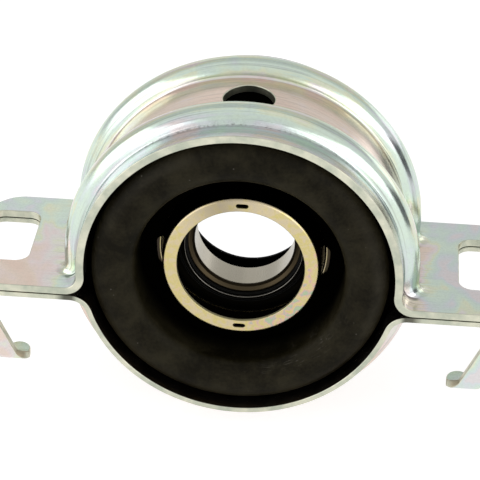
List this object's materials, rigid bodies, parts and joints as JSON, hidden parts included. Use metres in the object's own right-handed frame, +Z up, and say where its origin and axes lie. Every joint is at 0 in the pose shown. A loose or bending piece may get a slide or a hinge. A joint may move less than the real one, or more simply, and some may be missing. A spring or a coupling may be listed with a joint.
{
  "type": "driveshaft centre bearing",
  "caption": "Sealed ball bearing in a ribbed rubber cushion, gripped by a two-part pressed steel bracket with slotted wings and a hook under each wing.",
  "frame": {"origin": "on the shaft's axis, halfway along the depth of the bracket", "axes": "+X across the wings to the right wing, +Y along the shaft from front to rear, +Z up over the arch"},
  "size_m": [0.206, 0.06, 0.1219],
  "materials": {
    "plated_steel": "bright zinc plating with a faint rainbow tint",
    "golden_plating": "yellow zinc plating with a rainbow tint",
    "black_enamel": "black enamel, satin",
    "ground_steel": "ground bearing steel",
    "polished_steel": "polished",
    "black_rubber": "moulded, matt",
    "seal_rubber": "moulded, satin",
    "cage_nylon": "moulded"
  },
  "bodies": {
    "housing": {"upper_bracket": "plated_steel", "lower_bracket": "plated_steel", "bearing_sleeve": "golden_plating", "front_dust_cover": "golden_plating", "rear_dust_cover": "black_enamel", "bearing_outer_ring": "ground_steel", "front_bearing_seal": "seal_rubber", "rear_bearing_seal": "seal_rubber", "rubber_cushion": "black_rubber"},
    "inner_race": {"bearing_inner_ring": "ground_steel"},
    "cage": {"ball_cage": "cage_nylon"},
    "ball_01": {"ball_01": "polished_steel"},
    "ball_02": {"ball_02": "polished_steel"},
    "ball_03": {"ball_03": "polished_steel"},
    "ball_04": {"ball_04": "polished_steel"},
    "ball_05": {"ball_05": "polished_steel"},
    "ball_06": {"ball_06": "polished_steel"},
    "ball_07": {"ball_07": "polished_steel"},
    "ball_08": {"ball_08": "polished_steel"},
    "ball_09": {"ball_09": "polished_steel"},
    "ball_10": {"ball_10": "polished_steel"},
    "ball_11": {"ball_11": "polished_steel"}
  },
  "joints": [
    {"name": "inner_spin", "type": "hinge", "parent": "housing", "child": "inner_race", "pos_m": [0, 0.0014, 0], "axis": [0, 1, 0], "continuous": true},
    {"name": "cage_spin", "type": "hinge", "parent": "housing", "child": "cage", "pos_m": [0, 0.0014, 0], "axis": [0, 1, 0], "continuous": true},
    {"name": "ball_01_spin", "type": "hinge", "parent": "cage", "child": "ball_01", "pos_m": [0, 0.0014, 0.02425], "axis": [0, 1, 0], "continuous": true},
    {"name": "ball_02_spin", "type": "hinge", "parent": "cage", "child": "ball_02", "pos_m": [-0.01311, 0.0014, 0.0204], "axis": [0, 1, 0], "continuous": true},
    {"name": "ball_03_spin", "type": "hinge", "parent": "cage", "child": "ball_03", "pos_m": [-0.02206, 0.0014, 0.01007], "axis": [0, 1, 0], "continuous": true},
    {"name": "ball_04_spin", "type": "hinge", "parent": "cage", "child": "ball_04", "pos_m": [-0.024, 0.0014, -0.00345], "axis": [0, 1, 0], "continuous": true},
    {"name": "ball_05_spin", "type": "hinge", "parent": "cage", "child": "ball_05", "pos_m": [-0.01833, 0.0014, -0.01588], "axis": [0, 1, 0], "continuous": true},
    {"name": "ball_06_spin", "type": "hinge", "parent": "cage", "child": "ball_06", "pos_m": [-0.00683, 0.0014, -0.02327], "axis": [0, 1, 0], "continuous": true},
    {"name": "ball_07_spin", "type": "hinge", "parent": "cage", "child": "ball_07", "pos_m": [0.00683, 0.0014, -0.02327], "axis": [0, 1, 0], "continuous": true},
    {"name": "ball_08_spin", "type": "hinge", "parent": "cage", "child": "ball_08", "pos_m": [0.01833, 0.0014, -0.01588], "axis": [0, 1, 0], "continuous": true},
    {"name": "ball_09_spin", "type": "hinge", "parent": "cage", "child": "ball_09", "pos_m": [0.024, 0.0014, -0.00345], "axis": [0, 1, 0], "continuous": true},
    {"name": "ball_10_spin", "type": "hinge", "parent": "cage", "child": "ball_10", "pos_m": [0.02206, 0.0014, 0.01007], "axis": [0, 1, 0], "continuous": true},
    {"name": "ball_11_spin", "type": "hinge", "parent": "cage", "child": "ball_11", "pos_m": [0.01311, 0.0014, 0.0204], "axis": [0, 1, 0], "continuous": true}
  ],
  "couplings": [
    {"joint": "cage_spin", "follows": "inner_spin", "ratio": 0.41814},
    {"joint": "ball_01_spin", "follows": "inner_spin", "ratio": -2.9723},
    {"joint": "ball_02_spin", "follows": "inner_spin", "ratio": -2.9723},
    {"joint": "ball_03_spin", "follows": "inner_spin", "ratio": -2.9723},
    {"joint": "ball_04_spin", "follows": "inner_spin", "ratio": -2.9723},
    {"joint": "ball_05_spin", "follows": "inner_spin", "ratio": -2.9723},
    {"joint": "ball_06_spin", "follows": "inner_spin", "ratio": -2.9723},
    {"joint": "ball_07_spin", "follows": "inner_spin", "ratio": -2.9723},
    {"joint": "ball_08_spin", "follows": "inner_spin", "ratio": -2.9723},
    {"joint": "ball_09_spin", "follows": "inner_spin", "ratio": -2.9723},
    {"joint": "ball_10_spin", "follows": "inner_spin", "ratio": -2.9723},
    {"joint": "ball_11_spin", "follows": "inner_spin", "ratio": -2.9723}
  ]
}
